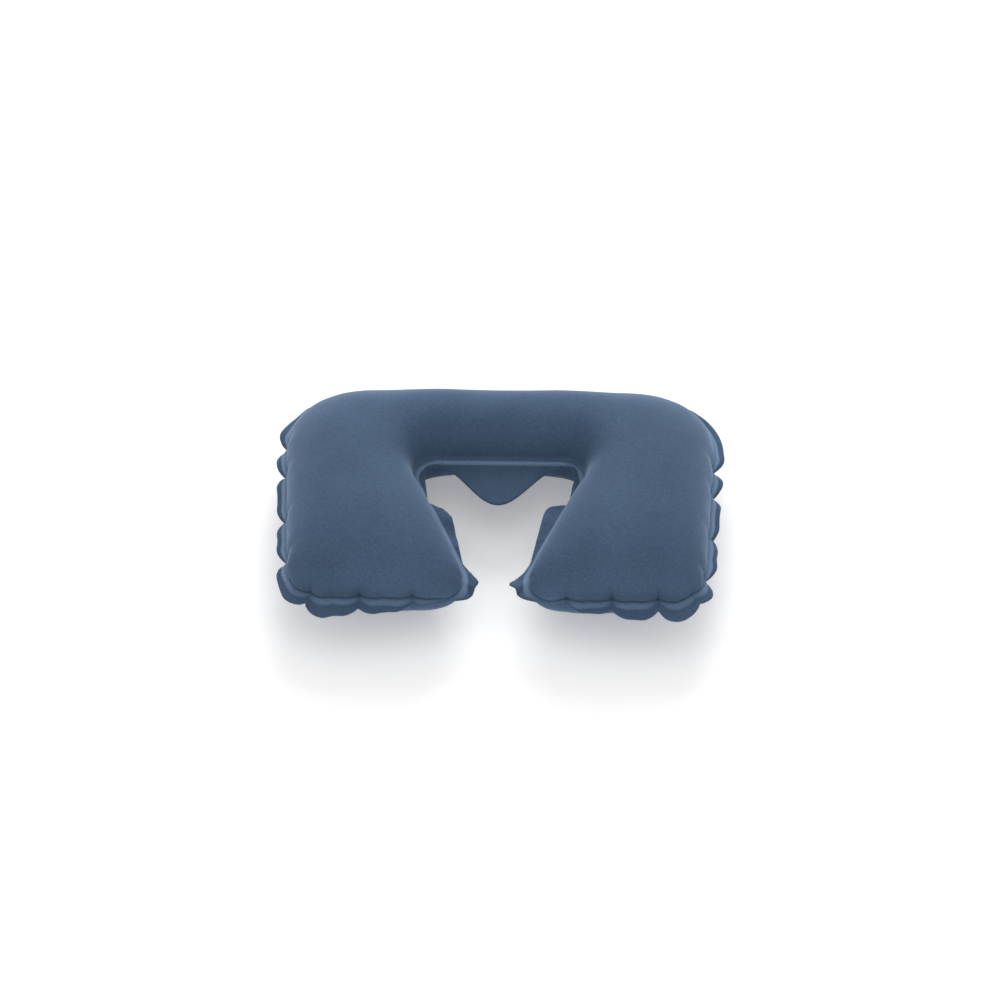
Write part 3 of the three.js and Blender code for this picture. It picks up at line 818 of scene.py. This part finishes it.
def vinyl(name, dark, light):
    """Soft moulded vinyl: faint mottling and a satin skin."""
    n = Nodes(name)
    cloud = noise(n, 160, 3, 0.55)
    colour = ramp(n, cloud, (0.3, srgb(*dark)), (0.7, srgb(*light)))
    bump = n.new("ShaderNodeBump", {"Height": noise(n, 2200, 2, 0.5), "Strength": 0.12, "Distance": 0.0002})
    n.set(Base_Color=colour, Roughness=remap(n, cloud, 0.3, 0.7, 0.36, 0.5), Normal=bump.outputs["Normal"],
          Specular_IOR_Level=0.45, Subsurface_Weight=0.08, Subsurface_Scale=0.002)
    return n.material


def light_table():
    """The floor: a pale lit table, which keeps the shadows open."""
    n = Nodes("floor")
    n.set(Base_Color=srgb(236, 236, 236), Roughness=0.9, Specular_IOR_Level=0.1,
          Emission_Color=(1, 1, 1, 1), Emission_Strength=FLOOR_GLOW)
    return n.material


# ---------------------------------------------------------------- studio


def studio():
    """The camera, the floor, the world and the lights."""
    scene = bpy.context.scene
    aim = Vector((*AIM, WELD_Z)) * MM
    side, up = math.radians(CAMERA_SIDE), math.radians(CAMERA_UP)
    camera = bpy.data.objects.new("camera", bpy.data.cameras.new("camera"))
    camera.location = aim + CAMERA_FAR * Vector(
        (math.sin(side) * math.cos(up), -math.cos(side) * math.cos(up), math.sin(up)))
    look = (aim - camera.location).to_track_quat("-Z", "Y").to_matrix()
    camera.rotation_euler = (look @ Matrix.Rotation(math.radians(CAMERA_ROLL), 3, "Z")).to_euler()
    camera.data.lens = CAMERA_LENS
    camera.data.clip_end = 50
    scene.collection.objects.link(camera)
    scene.camera = camera
    scene.view_settings.view_transform = "Standard"

    corners = [(-FLOOR, -FLOOR), (FLOOR, -FLOOR), (FLOOR, FLOOR), (-FLOOR, FLOOR)]
    floor = add_object("floor", [(x, y, -0.2) for x, y in corners], [(0, 1, 2), (0, 2, 3)])
    floor.data.materials.append(light_table())

    world = bpy.data.worlds.new("studio")
    world.use_nodes = True
    world.node_tree.nodes["Background"].inputs["Color"].default_value = (1, 1, 1, 1)
    world.node_tree.nodes["Background"].inputs["Strength"].default_value = WORLD_LIGHT
    scene.world = world
    for name, place, size, power in LIGHTS:
        light = bpy.data.lights.new(name, "AREA")
        light.shape, light.size, light.energy = "DISK", size, power
        lamp = bpy.data.objects.new(name, light)
        lamp.location = place
        lamp.rotation_euler = (aim - Vector(place)).to_track_quat("-Z", "Y").to_euler()
        scene.collection.objects.link(lamp)


# ---------------------------------------------------------------- the object


def main():
    """The films, the flap and the valve, each in place of the CAD node that it hides; the films and the valve
    pieces with a body are tied to it, while the flap and the skirt stay where they are made; then the studio.
    """
    flock = flocked("flocked_film")
    points, upper, lower, seam, swell = inflated()
    for name, faces, node in (("upper_film", upper, "upper_sheet"), ("lower_film", lower, "lower_sheet")):
        piece = film(name, points, faces, seam, swell)
        if name == "lower_film":
            ported(piece)
        piece.data.materials.clear()
        piece.data.materials.append(flock)
        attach(piece, "pillow")
        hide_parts(node)
    flap = neck_flap()
    # The flap's flock is painted darker: painted shade for the back tube's shadow on it.
    flap.data.materials.append(flocked("flap_film", FLAP_PAINTED_SHADE))
    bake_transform(flap)
    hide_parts("neck_flap")
    soft = vinyl("soft_vinyl", (128, 140, 152), (158, 169, 180))
    cap = vinyl("cap_vinyl", (74, 92, 112), (96, 114, 134))
    for piece, material, slot, body, node in valve(soft, cap):
        piece.data.materials.clear()
        piece.data.materials.append(material)
        if body:
            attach(piece, body)
        else:
            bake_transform(piece)
        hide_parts(node)
    studio()


main()
